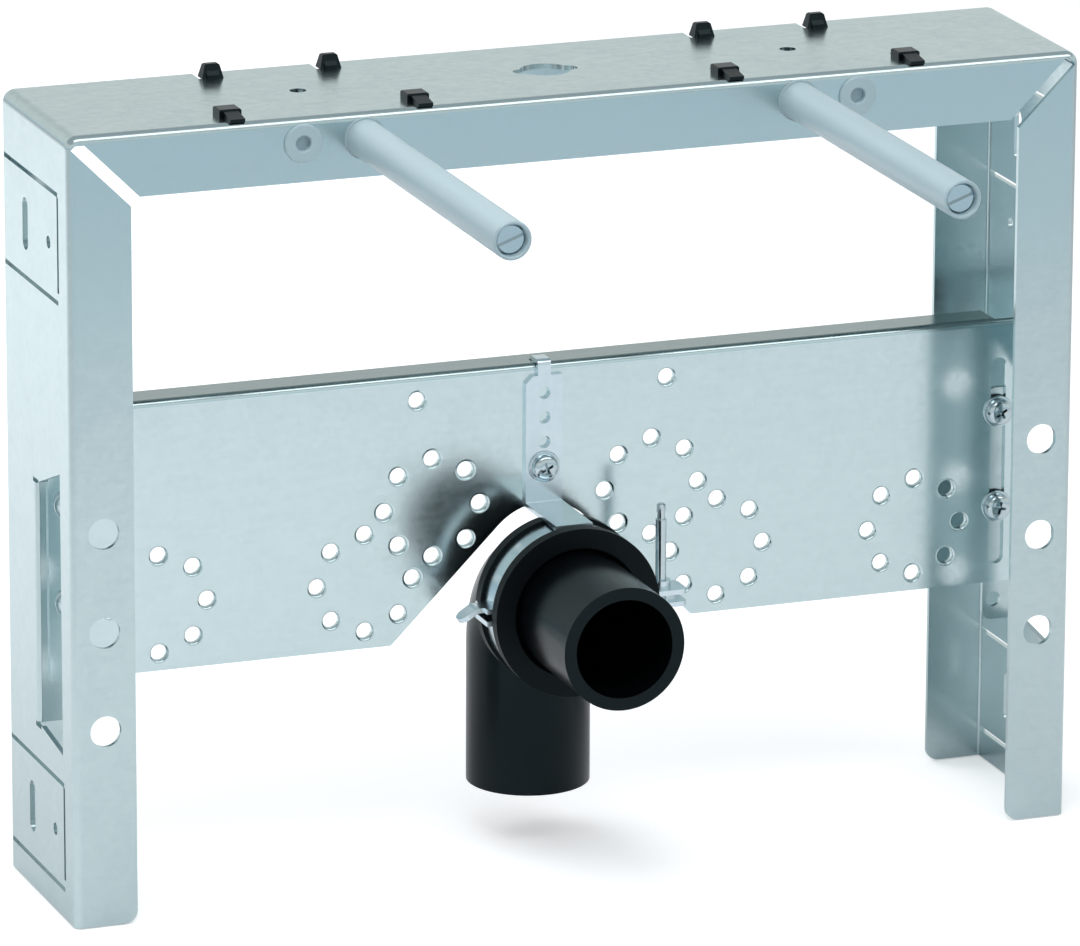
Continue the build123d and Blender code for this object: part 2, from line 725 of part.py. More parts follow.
# Clamp halves, each a half band with an ear for the screw on the right, hooked together on the left
ear_start = band_inner_radius + band_sheet / 2
ear_face = clamp_ear_gap / 2 + band_sheet
hinge_start = band_outer_radius + hinge_ear_length
for half_name, direction in (("upper", 1), ("lower", -1)):
    away = Align.MIN if direction > 0 else Align.MAX
    with BuildPart() as clamp_half:
        with BuildSketch(facing_front(clamp_y)):
            with Locations((0, pipe_z)):
                Circle(band_outer_radius)
                Circle(band_inner_radius, mode=Mode.SUBTRACT)
            with Locations((0, pipe_z + direction * clamp_ear_gap / 2)):
                Rectangle(
                    2 * band_outer_radius,
                    2 * band_outer_radius,
                    align=(Align.CENTER, away),
                    mode=Mode.INTERSECT,
                )
            with Locations((ear_start, pipe_z + direction * clamp_ear_gap / 2)):
                Rectangle(clamp_ear_length, band_sheet, align=(Align.MIN, away))
            with Locations((-ear_start, pipe_z + direction * clamp_ear_gap / 2)):
                Rectangle(hinge_ear_length, band_sheet, align=(Align.MAX, away))
        extrude(amount=band_width / 2, both=True)
        fillet(clamp_half.edges().filter_by(Axis.Z).group_by(Axis.X)[-1], clamp_ear_corner)

        # The upper half's tongue bends down over the ear of the lower half
        if direction > 0:
            tongue_z = pipe_z + ear_face - band_sheet / 2
            tongue_run = hinge_tongue_tip * math.cos(math.radians(hinge_tongue_angle))
            tongue_fall = hinge_tongue_tip * math.sin(math.radians(hinge_tongue_angle))
            with BuildSketch(facing_front(clamp_y)):
                with BuildLine():
                    FilletPolyline(
                        (-ear_start, tongue_z),
                        (-hinge_start - band_sheet, tongue_z),
                        (-hinge_start - band_sheet - tongue_run, tongue_z - tongue_fall),
                        radius=band_sheet,
                    )
                trace(line_width=band_sheet)
            extrude(amount=hinge_tongue_width / 2, both=True)
            tip_edges = clamp_half.edges().filter_by(lambda e: e.length < band_sheet + 0.01)
            tip_edges = tip_edges.filter_by(lambda e: e.center().X < -hinge_start - hinge_tongue_tip / 2)
            fillet(tip_edges, 0.48 * hinge_tongue_width)

            # Nut pressed into the ear
            with BuildSketch(Plane.XY.offset(pipe_z + ear_face)):
                with Locations((clamp_screw_spread, clamp_y)):
                    Circle(clamp_nut_diameter / 2)
            extrude(amount=clamp_nut_height)
        with BuildSketch(Plane.XY.offset(pipe_z)):
            with Locations((clamp_screw_spread, clamp_y)):
                Circle(clamp_screw_diameter / 2 + screw_clearance)
        extrude(amount=ear_face + clamp_nut_height, both=True, mode=Mode.SUBTRACT)
    export(clamp_half, f"clamp_half_{half_name}")

# Clamp screw, pushed in from below: head, shank, neck and pilot tip
with BuildPart() as clamp_screw:
    screw_bottom = pipe_z - ear_face
    screw_top = pipe_z + clamp_screw_rise
    neck_bottom = screw_top - clamp_screw_tip_length - clamp_screw_neck_length
    for start_z, end_z, diameter in (
        (screw_bottom - screw_head_height, screw_bottom, clamp_screw_head),
        (screw_bottom, neck_bottom, clamp_screw_diameter),
        (neck_bottom, screw_top - clamp_screw_tip_length, clamp_screw_neck),
        (screw_top - clamp_screw_tip_length, screw_top, clamp_screw_tip),
    ):
        with BuildSketch(Plane.XY.offset(start_z)):
            with Locations((clamp_screw_spread, clamp_y)):
                Circle(diameter / 2)
        extrude(amount=end_z - start_z)
    chamfer(clamp_screw.edges().group_by(Axis.Z)[-1], clamp_edge)
    fillet(clamp_screw.edges().group_by(Axis.Z)[0], screw_head_height / 2 - clamp_edge)
export(clamp_screw, "clamp_screw")

# Hanger strip: one folded strip from a foot on the clamp band, up the plate and over its edge into a slot
foot_middle = pipe_z + band_outer_radius + strip_sheet / 2
strip_middle_y = plate_y - strip_sheet / 2
strip_top = plate_top - strip_top_gap
with BuildPart() as hanger_strip:
    with BuildSketch(Plane.YZ):
        with BuildLine():
            FilletPolyline(
                (clamp_y - band_width / 2, foot_middle),
                (strip_middle_y, foot_middle),
                (strip_middle_y, plate_top + strip_sheet / 2),
                (plate_y + strip_hook_depth - strip_sheet / 2, plate_top + strip_sheet / 2),
                (plate_y + strip_hook_depth - strip_sheet / 2, plate_top - strip_hook_drop),
                radius=strip_fold_radius,
            )
        trace(line_width=strip_sheet)
    extrude(amount=strip_width / 2, both=True)

    # Only a narrow tongue of the strip goes over the edge, and one corner beside it is cut off
    with BuildSketch(facing_front(plate_y - strip_sheet)):
        for _, side in sides:
            with Locations((side * strip_hook_width / 2, strip_top)):
                Rectangle(
                    strip_width,
                    strip_top_gap + 2 * strip_sheet,
                    align=(Align.MIN if side > 0 else Align.MAX, Align.MIN),
                )
        with Locations((-strip_width / 2, strip_top)):
            Rectangle(math.sqrt(2) * strip_corner, math.sqrt(2) * strip_corner, rotation=45)
    extrude(amount=-strip_sheet, mode=Mode.SUBTRACT)
    with BuildSketch(Plane.XY.offset(plate_top + strip_sheet)):
        for _, side in sides:
            with Locations((side * strip_hook_width / 2, plate_y)):
                Rectangle(
                    strip_width,
                    strip_hook_depth + strip_sheet,
                    align=(Align.MIN if side > 0 else Align.MAX, Align.MIN),
                )
    extrude(amount=-(strip_hook_drop + 2 * strip_sheet), mode=Mode.SUBTRACT)
    with BuildSketch(facing_front(plate_y)):
        strip_holes = [strip_top - strip_first_hole - n * strip_hole_pitch for n in range(strip_hole_count)]
        with Locations(*[(0, z) for z in strip_holes]):
            Circle(strip_hole_diameter / 2)
        with Locations((0, hanger_screw_z)):
            Circle(screw_diameter / 2 + screw_clearance)
    extrude(amount=strip_sheet, mode=Mode.SUBTRACT)
export(hanger_strip, "hanger_strip")

# Screw through the strip into the plate
with BuildPart() as hanger_screw:
    with BuildSketch(facing_front(plate_y - strip_sheet)):
        with Locations((0, hanger_screw_z)):
            Circle(screw_head_diameter / 2)
    extrude(amount=screw_head_height)
    with BuildSketch(facing_front(plate_y - strip_sheet)):
        with Locations((0, hanger_screw_z)):
            Circle(screw_diameter / 2)
    extrude(amount=-screw_length)
export(hanger_screw, "hanger_screw")
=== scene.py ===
# %% [markdown]
# A mounting frame for a wall-hung bidet, dressed for a photograph
#
# The real object is a frame of folded, galvanised sheet steel that is built into a wall. Two long sleeved
# studs stand out of its rail and carry the bidet, a perforated cross plate takes the water elbows, and a
# black waste bend hangs in a pipe clamp. The sheet-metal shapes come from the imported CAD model, already
# in place and in metres. This script lights them, gives each one a finish, and models the small threaded
# parts that the CAD leaves plain.

import math

import bmesh
import bpy
from mathutils import Matrix, Vector


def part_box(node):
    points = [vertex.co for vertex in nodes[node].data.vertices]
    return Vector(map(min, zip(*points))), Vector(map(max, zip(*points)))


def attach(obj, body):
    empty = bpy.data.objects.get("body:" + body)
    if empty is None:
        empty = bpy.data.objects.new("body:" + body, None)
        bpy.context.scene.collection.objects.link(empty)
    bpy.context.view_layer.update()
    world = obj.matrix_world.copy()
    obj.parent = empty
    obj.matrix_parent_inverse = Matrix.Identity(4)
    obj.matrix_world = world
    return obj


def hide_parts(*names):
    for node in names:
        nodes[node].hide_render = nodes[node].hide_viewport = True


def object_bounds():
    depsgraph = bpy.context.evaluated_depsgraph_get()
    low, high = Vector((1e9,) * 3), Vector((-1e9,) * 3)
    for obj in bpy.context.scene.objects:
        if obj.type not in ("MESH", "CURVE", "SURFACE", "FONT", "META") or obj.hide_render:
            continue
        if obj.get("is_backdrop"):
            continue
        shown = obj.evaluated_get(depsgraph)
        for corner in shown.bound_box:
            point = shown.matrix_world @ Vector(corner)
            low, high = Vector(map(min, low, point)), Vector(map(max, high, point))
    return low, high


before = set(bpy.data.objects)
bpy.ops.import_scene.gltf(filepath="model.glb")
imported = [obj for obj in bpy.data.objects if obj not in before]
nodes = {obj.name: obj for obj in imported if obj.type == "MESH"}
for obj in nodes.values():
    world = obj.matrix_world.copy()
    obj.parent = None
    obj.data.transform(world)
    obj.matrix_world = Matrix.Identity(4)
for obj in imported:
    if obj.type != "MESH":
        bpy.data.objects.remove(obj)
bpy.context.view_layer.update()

# %% [markdown]
# The camera. The photograph was taken from the left and from above with a long lens, so that the frame's
# long edges stay almost parallel. A long lens a few metres away gives that flat perspective. The camera
# is put on a circle round a point near the middle of the frame: one angle turns it round the frame, one
# lifts it, and a last one rolls it.

# %% Camera
CAMERA_TARGET = Vector((-0.0174, 0.0400, 0.1665))
CAMERA_DISTANCE = 3.515
CAMERA_TURN = math.radians(20.47)
CAMERA_LIFT = math.radians(16.26)
CAMERA_ROLL = math.radians(0.210)
FOCAL_LENGTH_MM = 298.81
SENSOR_WIDTH_MM = 36.0
FARTHEST_SEEN = 20.0

back = Vector(
    (
        -math.sin(CAMERA_TURN) * math.cos(CAMERA_LIFT),
        -math.cos(CAMERA_TURN) * math.cos(CAMERA_LIFT),
        math.sin(CAMERA_LIFT),
    )
)
level_view = back.to_track_quat("Z", "Y").to_matrix()
bpy.ops.object.camera_add(location=CAMERA_TARGET + CAMERA_DISTANCE * back)
camera = bpy.context.object
camera.name = "camera"
camera.rotation_euler = (level_view @ Matrix.Rotation(CAMERA_ROLL, 3, "Z")).to_euler()
camera.data.lens = FOCAL_LENGTH_MM
camera.data.sensor_width = SENSOR_WIDTH_MM
camera.data.clip_end = FARTHEST_SEEN
bpy.context.scene.camera = camera
print("camera at", [round(v, 3) for v in camera.location])

# %% [markdown]
# The surroundings. Bare metal is a mirror with a little haze, so what it shows is the room. Here the room
# has a pale blue front, a white sweep behind the frame and a greyer ceiling, which puts a thin dark line
# along each fold. The light that falls on matt surfaces is even and dimmer, and the camera itself sees
# plain white.

# %% Helpers for nodes and colours
# A Mix node has inputs and outputs for each type of data. These are the places of the colour ones.
MIX_COLOUR_A = 6
MIX_COLOUR_B = 7
MIX_COLOUR_OUT = 2


def empty_tree(owner):
    """Switches on the nodes of a world or a material, and clears them."""
    owner.use_nodes = True
    owner.node_tree.nodes.clear()
    return owner.node_tree


def add_node(tree, kind, links=None, **settings):
    """Adds a node, gives it settings by name, and links or sets the inputs named in links."""
    node = tree.nodes.new(kind)
    for name, value in settings.items():
        setattr(node, name, value)
    for name, source in (links or {}).items():
        socket = node.inputs[name]
        if isinstance(source, bpy.types.NodeSocket):
            tree.links.new(source, socket)
        else:
            socket.default_value = source
    return node


def linear(code):
    """Turns an sRGB hex colour into the linear colour that a shader takes."""
    values = [int(code[i : i + 2], 16) / 255 for i in (1, 3, 5)]
    return (*[v / 12.92 if v <= 0.04045 else ((v + 0.055) / 1.055) ** 2.4 for v in values], 1.0)


# %% World
WORLD_LIGHT = 0.52
FRONT_ROOM = "#c6d9e3"
SWEEP = "#e4e8e6"
CEILING = "#aeb6b9"
# Where each band of the room stands, from 0 at the horizon to 1 overhead.
LOWEST_BAND = (0.0, FRONT_ROOM)
SWEEP_BANDS = ((0.05, SWEEP), (0.36, SWEEP))
HIGHEST_BAND = (0.5, CEILING)

bpy.context.scene.view_settings.view_transform = "Standard"
world = bpy.data.worlds.new("white sweep under a grey ceiling")
bpy.context.scene.world = world
room = empty_tree(world)
direction = add_node(room, "ShaderNodeTexCoord")
upward = add_node(room, "ShaderNodeSeparateXYZ", {0: direction.outputs["Generated"]})
reflected = add_node(room, "ShaderNodeValToRGB", {"Fac": upward.outputs["Z"]})
bands = reflected.color_ramp.elements
for band, (height, code) in zip(bands, (LOWEST_BAND, HIGHEST_BAND)):
    band.position = height
    band.color = linear(code)
for height, code in SWEEP_BANDS:
    bands.new(height).color = linear(code)
ray = add_node(room, "ShaderNodeLightPath")
shade = add_node(
    room,
    "ShaderNodeMix",
    {
        "Factor": ray.outputs["Is Glossy Ray"],
        MIX_COLOUR_A: linear("#ffffff"),
        MIX_COLOUR_B: reflected.outputs["Color"],
    },
    data_type="RGBA",
)
lighting = add_node(
    room,
    "ShaderNodeMix",
    {"Factor": ray.outputs["Is Glossy Ray"], "A": WORLD_LIGHT, "B": 1.0},
    data_type="FLOAT",
)
direct = add_node(
    room,
    "ShaderNodeMath",
    {0: ray.outputs["Is Camera Ray"], 1: ray.outputs["Is Transmission Ray"]},
    operation="MAXIMUM",
)
strength = add_node(
    room,
    "ShaderNodeMix",
    {"Factor": direct.outputs[0], "A": lighting.outputs[0], "B": 1.0},
    data_type="FLOAT",
)
surround = add_node(
    room,
    "ShaderNodeBackground",
    {"Color": shade.outputs[MIX_COLOUR_OUT], "Strength": strength.outputs[0]},
)
add_node(room, "ShaderNodeOutputWorld", {"Surface": surround.outputs[0]})
print("world light", WORLD_LIGHT, "seen in metal from below:", FRONT_ROOM, SWEEP, CEILING)

# %% [markdown]
# The floor and the lamps. The floor is matt white paint. It glows a little for the camera alone, so that
# it merges with the white background and still keeps the shadow under the frame. The upright faces mirror
# the floor, so the lamps are placed for the floor. The softbox behind on the left brightens what the left
# web shows, and the near fill brightens the foot of the front. The floor ends in front, and beyond it the
# rail shows the blue of the room. The front strip is the one lamp that metal mirrors: it draws the bright
# line along the folds.

# %% Floor
FLOOR_SIZE = 6.0
FLOOR_FRONT = -0.8
FLOOR_DROP = 0.0005
FLOOR_GLOW = 0.35

bpy.ops.mesh.primitive_plane_add(size=FLOOR_SIZE, location=(0, FLOOR_FRONT + FLOOR_SIZE / 2, -FLOOR_DROP))
floor = bpy.context.object
floor.name = "floor"
paint = bpy.data.materials.new("matt white floor paint")
coat = empty_tree(paint)
matt = add_node(coat, "ShaderNodeBsdfDiffuse", {"Color": linear("#f6f9fb")})
seen = add_node(coat, "ShaderNodeLightPath")
glow = add_node(
    coat, "ShaderNodeMath", {0: seen.outputs["Is Camera Ray"], 1: FLOOR_GLOW}, operation="MULTIPLY"
)
gleam = add_node(coat, "ShaderNodeEmission", {"Strength": glow.outputs[0]})
both = add_node(coat, "ShaderNodeAddShader", {0: matt.outputs[0], 1: gleam.outputs[0]})
add_node(coat, "ShaderNodeOutputMaterial", {"Surface": both.outputs[0]})
floor.data.materials.append(paint)
floor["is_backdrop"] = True
print("floor from y", FLOOR_FRONT, "to", FLOOR_FRONT + FLOOR_SIZE)

# %% Lamps


def add_lamp(name, place, target, width, depth, watts, mirrored):
    """A soft rectangular lamp at a place, turned towards a target, that metal mirrors or doesn't."""
    bpy.ops.object.light_add(type="AREA", location=place)
    lamp = bpy.context.object
    lamp.name = name
    lamp.rotation_euler = (Vector(place) - Vector(target)).to_track_quat("Z", "Y").to_euler()
    lamp.data.shape = "RECTANGLE"
    lamp.data.size = width
    lamp.data.size_y = depth
    lamp.data.energy = watts
    lamp.visible_glossy = mirrored
    print(name, width, "x", depth, "m,", watts, "W")


add_lamp(
    "front strip",
    place=(0.35, -0.68, 1.25),
    target=(0.35, -0.55, 0.0),
    width=1.8,
    depth=0.55,
    watts=6.0,
    mirrored=True,
)
add_lamp(
    "left softbox",
    place=(-0.65, 1.1, 1.0),
    target=(-0.62, 1.1, 0.0),
    width=0.8,
    depth=1.4,
    watts=10.5,
    mirrored=False,
)
add_lamp(
    "near fill",
    place=(-0.2, -0.18, 0.85),
    target=(-0.18, -0.15, 0.0),
    width=0.5,
    depth=0.5,
    watts=1.9,
    mirrored=False,
)

# %% [markdown]
# What all finishes share. A pattern in the surface shifts its colour, its roughness and its relief
# together, because on a real part the three have one cause. The pattern's size is given in millimetres. A
# noise keeps mostly to the middle of its range, so the roughness is stretched between the values that it
# really reaches.

# %% The end of a finish
PATTERN_LOW = 0.3
PATTERN_HIGH = 0.7
RELIEF_HEIGHT = 0.0003


def pattern_scale(size_mm):
    """Noise scale, per metre, that gives marks of about this many millimetres."""
    return 1000.0 / size_mm


def add_surface(tree, colour, marks, shine, dull, bump, **inputs):
    """Ends a material: its marks take the roughness from shine to dull and raise a fine relief."""
    roughness = add_node(
        tree,
        "ShaderNodeMapRange",
        {
            "Value": marks,
            "From Min": PATTERN_LOW,
            "From Max": PATTERN_HIGH,
            "To Min": shine,
            "To Max": dull,
        },
    )
    relief = add_node(
        tree, "ShaderNodeBump", {"Height": marks, "Strength": bump, "Distance": RELIEF_HEIGHT}
    )
    sockets = {
        "Base Color": colour,
        "Roughness": roughness.outputs["Result"],
        "Normal": relief.outputs[0],
    }
    for name, value in inputs.items():
        sockets[name.replace("_", " ")] = value
    shader = add_node(tree, "ShaderNodeBsdfPrincipled", sockets)
    add_node(tree, "ShaderNodeOutputMaterial", {"Surface": shader.outputs[0]})


print("patterns run from", PATTERN_LOW, "to", PATTERN_HIGH, "and are", 1000 * RELIEF_HEIGHT, "mm high")

# %% [markdown]
# Galvanised sheet steel. Strip steel is dipped in molten zinc and rolled lightly, which flattens the zinc
# crystals into a faint mottling a few millimetres across. To the eye that is a cool blue-green grey with
# soft reflections, a little drag along the rolling direction, and no strong pattern. A cell pattern for
# the crystals and two sizes of noise shift the colour by a few parts in a hundred and the roughness by
# more, since haze is what shows most on metal.

# %% Galvanised sheet
# A crystal is two to three millimetres wide, and a cloud, left when the molten zinc is wiped, a finger wide.
CRYSTAL_MM = 2.6
CLOUD_MM = 14.0
# A rolling mark is a tenth of a millimetre wide on the real sheet, and drawn coarser so that it shows.
STREAK_MM = 1.6
CRYSTAL_SHARE = 0.3
STREAK_SHARE = 0.4
ROLLED_ACROSS = (0.12, 1.0, 1.0)
ROLLED_UP = (1.0, 1.0, 0.12)
SHEET_RELIEF = 0.035
# Painted shade on a sheet's top face fades in over this height, in metres, and a sheet without it has its
# shaded top out of reach.
TOP_SHADE_BLEND = 0.001
NO_SHADED_TOP = 10.0


def galvanised(name, light, dark, shine, dull, rolled, shaded_top_height=NO_SHADED_TOP, top_shade_colour="#ffffff"):
    """Zinc-coated sheet: crystals, clouds, and streaks along the axis whose number in rolled is small.

    Above the height given, in metres, the colour is multiplied by the colour given with it: painted shade
    that darkens the sheet's top face."""
    material = bpy.data.materials.new(name)
    tree = empty_tree(material)
    place = add_node(tree, "ShaderNodeTexCoord").outputs["Object"]
    crystals = add_node(
        tree,
        "ShaderNodeTexVoronoi",
        {"Vector": place, "Scale": pattern_scale(CRYSTAL_MM), "Randomness": 1.0},
    )
    grey = add_node(tree, "ShaderNodeSeparateColor", {"Color": crystals.outputs["Color"]})
    clouds = add_node(
        tree,
        "ShaderNodeTexNoise",
        {"Vector": place, "Scale": pattern_scale(CLOUD_MM), "Detail": 6.0, "Roughness": 0.6},
    )
    stretched = add_node(tree, "ShaderNodeMapping", {"Vector": place, "Scale": rolled}).outputs[0]
    streaks = add_node(
        tree,
        "ShaderNodeTexNoise",
        {"Vector": stretched, "Scale": pattern_scale(STREAK_MM), "Detail": 4.0, "Roughness": 0.6},
    )
    mottle = add_node(
        tree,
        "ShaderNodeMix",
        {"Factor": CRYSTAL_SHARE, "A": clouds.outputs[0], "B": grey.outputs[0]},
        data_type="FLOAT",
    )
    marks = add_node(
        tree,
        "ShaderNodeMix",
        {"Factor": STREAK_SHARE, "A": mottle.outputs[0], "B": streaks.outputs[0]},
        data_type="FLOAT",
    )
    zinc = add_node(
        tree,
        "ShaderNodeMix",
        {"Factor": marks.outputs[0], MIX_COLOUR_A: linear(light), MIX_COLOUR_B: linear(dark)},
        data_type="RGBA",
    )
    # Painted shade: above the given height the colour is multiplied by a grey, which darkens the top face.
    height = add_node(tree, "ShaderNodeSeparateXYZ", {0: place})
    above = add_node(
        tree,
        "ShaderNodeMapRange",
        {"Value": height.outputs["Z"], "From Min": shaded_top_height - TOP_SHADE_BLEND, "From Max": shaded_top_height},
    )
    painted_top_shade = add_node(
        tree,
        "ShaderNodeMix",
        {
            "Factor": above.outputs["Result"],
            MIX_COLOUR_A: zinc.outputs[MIX_COLOUR_OUT],
            MIX_COLOUR_B: linear(top_shade_colour),
        },
        data_type="RGBA",
        blend_type="MULTIPLY",
    )
    add_surface(
        tree, painted_top_shade.outputs[MIX_COLOUR_OUT], marks.outputs[0], shine, dull, SHEET_RELIEF, Metallic=1.0
    )
    return material


frame_zinc = galvanised(
    "galvanised frame sheet, skin-passed",
    light="#cbdbdd",
    dark="#bccdd1",
    shine=0.18,
    dull=0.27,
    rolled=ROLLED_ACROSS,
)
# The plate's top face gets painted shade: a grey multiplied into its colour from just below its top upwards.
plate_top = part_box("cross_plate")[1][2]
plate_zinc = galvanised(
    "galvanised plate sheet, skin-passed",
    light="#d7e6e9",
    dark="#c8dbde",
    shine=0.15,
    dull=0.21,
    rolled=ROLLED_ACROSS,
    shaded_top_height=plate_top - 0.5 * TOP_SHADE_BLEND,
    top_shade_colour="#b4b8b6",
)
strip_zinc = galvanised(
    "galvanised strip, slit and folded",
    light="#deebf1",
    dark="#d2e1e9",
    shine=0.20,
    dull=0.28,
    rolled=ROLLED_UP,
)
print("galvanised finishes:", frame_zinc.name, "|", plate_zinc.name, "|", strip_zinc.name)

# %% [markdown]
# The other finishes. Screws and studs are zinc-plated and almost bright. The sleeves are extruded from
# clear polyethylene and the plugs are moulded from it. Both are cloudy with a blue tinge, so that a stud
# only shows through as a soft shape. The waste bend is bent from extruded black polyethylene pipe and has
# a soft wax-like shine. The clips are black nylon with a spark-eroded grain, and the liner is moulded
# matt rubber. All of them share one recipe: a noise shifts the colour and the shine a little and, except
# on the smooth sleeves, raises a fine relief. The grain of the plating, the nylon and the rubber is finer
# than a pixel on the real parts, so it is drawn half a millimetre to a millimetre wide to show.

# %% Bright zinc, plastics and rubber
EVEN = (1.0, 1.0, 1.0)
# The sleeve's clouds are ten times longer along the stud, the way that the tube was drawn out of its die.
DRAWN_FORWARD = (1.0, 0.1, 1.0)
BLACK_SHEEN = linear("#b4d2dc")


def plain_finish(name, light, dark, size_mm, shine, dull, bump, drag=EVEN, **inputs):
    """A finish with one noise, which is long where the drag of an axis is small."""
    material = bpy.data.materials.new(name)
    tree = empty_tree(material)
    place = add_node(tree, "ShaderNodeTexCoord").outputs["Object"]
    drawn = add_node(tree, "ShaderNodeMapping", {"Vector": place, "Scale": drag})
    grain = add_node(
        tree,
        "ShaderNodeTexNoise",
        {"Vector": drawn.outputs[0], "Scale": pattern_scale(size_mm), "Detail": 5.0},
    ).outputs[0]
    colour = add_node(
        tree,
        "ShaderNodeMix",
        {"Factor": grain, MIX_COLOUR_A: linear(light), MIX_COLOUR_B: linear(dark)},
        data_type="RGBA",
    )
    add_surface(tree, colour.outputs[MIX_COLOUR_OUT], grain, shine, dull, bump, **inputs)
    return material


bright_zinc = plain_finish(
    "zinc plating, bright",
    light="#d2dee2",
    dark="#bccbd1",
    size_mm=0.9,
    shine=0.10,
    dull=0.2,
    bump=0.04,
    Metallic=1.0,
)
sleeve_plastic = plain_finish(
    "clear polyethylene, extruded and frosted",
    light="#cbe2ea",
    dark="#c4dde6",
    size_mm=6.0,
    shine=0.3,
    dull=0.38,
    bump=0.0,
    drag=DRAWN_FORWARD,
    Transmission_Weight=0.4,
    IOR=1.51,
)
plug_plastic = plain_finish(
    "clear polyethylene, moulded",
    light="#bdd5de",
    dark="#b4ced8",
    size_mm=5.0,
    shine=0.3,
    dull=0.38,
    bump=0.01,
    Transmission_Weight=0.25,
    IOR=1.51,
)
black_pipe = plain_finish(
    "black polyethylene, extruded",
    light="#05080a",
    dark="#030507",
    size_mm=1.5,
    shine=0.2,
    dull=0.27,
    bump=0.003,
    IOR=1.51,
    Specular_IOR_Level=0.3,
    Specular_Tint=BLACK_SHEEN,
)
black_clip = plain_finish(
    "black nylon, spark-eroded grain",
    light="#05080a",
    dark="#030506",
    size_mm=0.5,
    shine=0.26,
    dull=0.36,
    bump=0.02,
    IOR=1.53,
    Specular_IOR_Level=0.4,
    Specular_Tint=BLACK_SHEEN,
)
black_rubber = plain_finish(
    "black rubber, moulded",
    light="#050607",
    dark="#030304",
    size_mm=0.6,
    shine=0.42,
    dull=0.54,
    bump=0.02,
    IOR=1.5,
    Specular_IOR_Level=0.25,
    Specular_Tint=BLACK_SHEEN,
)
plain = (bright_zinc, sleeve_plastic, plug_plastic, black_pipe, black_clip, black_rubber)
print("plain finishes:", " | ".join(finish.name for finish in plain))

# %% [markdown]
# Dressing the CAD pieces. Each piece gets the finish that stands beside the start of its name, and where
# two starts fit, the longer one counts: a stud's sleeve is plastic, though a stud is zinc.

# %% Dress the CAD pieces
finishes = {
    "frame_channel": frame_zinc,
    "cross_plate": plate_zinc,
    "hanger_strip": strip_zinc,
    "clamp_half": strip_zinc,
    "stud_cradle": frame_zinc,
    "stud_sleeve": sleeve_plastic,
    "hole_plug": plug_plastic,
    "stud": bright_zinc,
    "plate_screw": bright_zinc,
    "hanger_screw": bright_zinc,
    "clamp_screw": bright_zinc,
    "snap_clip": black_clip,
    "waste_bend": black_pipe,
    "clamp_liner": black_rubber,
}
for name, node in nodes.items():
    stem = max((s for s in finishes if name.startswith(s)), key=len)
    node.data.materials.clear()
    node.data.materials.append(finishes[stem])
print(len(nodes), "CAD nodes dressed in", len({m.name for m in finishes.values()}), "finishes")

# %% [markdown]
# Threads. A metric thread is an equilateral triangle as wide as its pitch, wound round the rod, with its
# tip and its root cut off, which leaves 0.71 of its depth. So a circle with three corners is drawn beside
# the axis, its inner side is taken out, the V that is left is squashed to that depth, and the Screw
# modifier winds it. Each turn ends where the next one starts, so merging the doubles closes the skin, and
# two bisecting cuts with fill give flat ends.

# %% Helpers for modelling


def deselect():
    """Leaves nothing selected, so that the next operator acts on the new piece alone."""
    bpy.ops.object.select_all(action="DESELECT")


def select_only(piece, *others):
    """Selects one piece as the active one, and others with it."""
    deselect()
    for chosen in (piece, *others):
        chosen.select_set(True)
    bpy.context.view_layer.objects.active = piece


def pick(kind, test):
    """In edit mode, selects the faces or edges that pass a test."""
    bpy.ops.mesh.select_mode(type="FACE" if kind == "faces" else "EDGE")
    bpy.ops.mesh.select_all(action="DESELECT")
    mesh = bmesh.from_edit_mesh(bpy.context.object.data)
    for part in getattr(mesh, kind):
        if test(part):
            part.select_set(True)
    bmesh.update_edit_mesh(bpy.context.object.data)


def open_edges(piece):
    """The number of edges that don't join exactly two faces."""
    mesh = bmesh.new()
    mesh.from_mesh(piece.data)
    count = sum(len(edge.link_faces) != 2 for edge in mesh.edges)
    mesh.free()
    return count


# %% Threaded rod
THREAD_DEPTH = 0.71
STEPS_PER_TURN = 24
# The winding starts this many turns below the rod and has some to spare above it, and both are cut off.
TURNS_BELOW = 1.5
SPARE_TURNS = 3
# Corners closer than this share of the pitch are one corner.
MERGED_SHARE = 0.01
THREAD_EDGE_ANGLE = math.radians(30)


